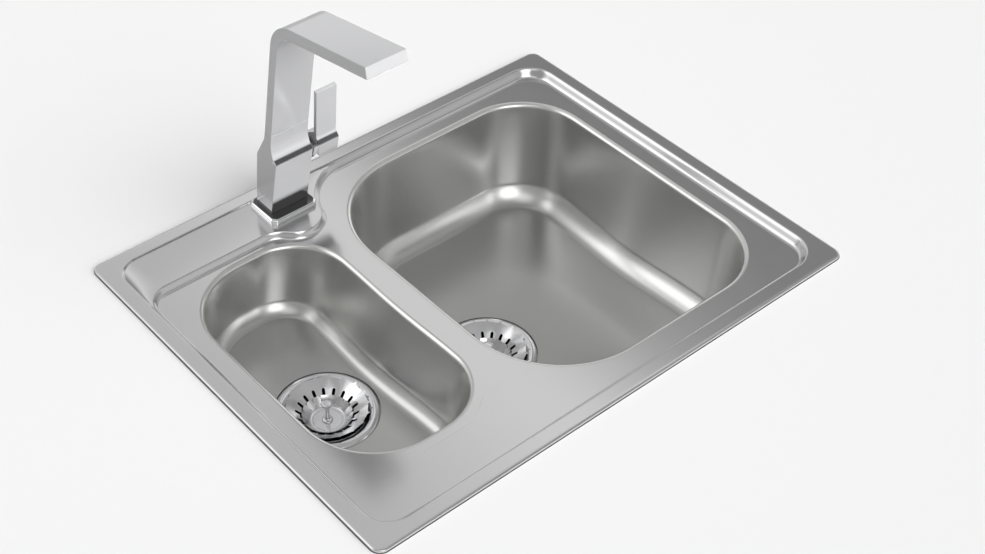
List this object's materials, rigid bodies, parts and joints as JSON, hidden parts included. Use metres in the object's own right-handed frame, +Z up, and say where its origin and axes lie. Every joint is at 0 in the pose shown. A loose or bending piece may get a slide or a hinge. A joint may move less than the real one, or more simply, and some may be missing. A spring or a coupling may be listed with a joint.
{
  "type": "one and a half bowl sink",
  "caption": "Inset kitchen sink with a main bowl and a half bowl, basket strainer wastes, a raised tap ledge and a lever mixer tap with a swivel spout.",
  "frame": {"origin": "middle of the sink's outline, on the worktop's surface that the rim seals against", "axes": "+X to the right along the sink's length, +Y to the back, where the tap is, +Z up"},
  "size_m": [0.65, 0.5, 0.5179],
  "materials": {
    "brushed_steel": "satin",
    "polished_steel": "polished",
    "chrome": "polished",
    "rubber": "matte",
    "plastic": "matte",
    "zinc": "zinc plated",
    "brass": "satin"
  },
  "bodies": {
    "sink": {"deck_panel": "brushed_steel", "main_bowl": "brushed_steel", "half_bowl": "brushed_steel", "rim_seal": "rubber", "clip_brackets": "zinc", "clip_arms": "zinc", "clip_screws": "zinc", "main_damping_pad": "rubber", "half_damping_pad": "rubber", "main_waste_flange": "polished_steel", "main_top_gasket": "rubber", "main_lower_gasket": "rubber", "main_waste_body": "plastic", "main_waste_screw": "zinc", "half_waste_flange": "polished_steel", "half_top_gasket": "rubber", "half_lower_gasket": "rubber", "half_waste_body": "plastic", "half_waste_screw": "zinc", "tap_base_plate": "chrome", "tap_body": "chrome", "cartridge": "plastic", "cartridge_collar": "chrome", "spout_bush": "plastic", "tap_stud": "zinc", "horseshoe_gasket": "rubber", "horseshoe_plate": "zinc", "stud_nut": "brass"},
    "spout": {"tap_spout": "chrome", "spout_spigot": "brass", "spout_o_ring": "rubber", "aerator": "plastic"},
    "mixing_rotor": {"cartridge_rotor": "brass", "rotor_pin": "zinc"},
    "lever": {"lever_stem": "brass", "tap_lever": "chrome", "lever_screw": "zinc"},
    "main_strainer": {"main_basket": "polished_steel", "main_basket_seal": "rubber", "main_basket_knob": "polished_steel"},
    "half_strainer": {"half_basket": "polished_steel", "half_basket_seal": "rubber", "half_basket_knob": "polished_steel"}
  },
  "joints": [
    {"name": "spout_swivel", "type": "hinge", "parent": "sink", "child": "spout", "pos_m": [-0.1, 0.1885, 0.125], "axis": [0, -0.1736, 0.9848], "range_deg": [-60, 60]},
    {"name": "lever_temperature", "type": "hinge", "parent": "sink", "child": "mixing_rotor", "pos_m": [-0.075, 0.197, 0.076], "axis": [1, 0, 0], "range_deg": [-45, 45]},
    {"name": "lever_flow", "type": "hinge", "parent": "mixing_rotor", "child": "lever", "pos_m": [-0.078, 0.197, 0.076], "axis": [0, 1, 0], "range_deg": [0, 20]},
    {"name": "main_basket_lift", "type": "slide", "parent": "sink", "child": "main_strainer", "axis": [0, 0, 1], "range_m": [0, 0.04]},
    {"name": "half_basket_lift", "type": "slide", "parent": "sink", "child": "half_strainer", "axis": [0, 0, 1], "range_m": [0, 0.04]}
  ]
}
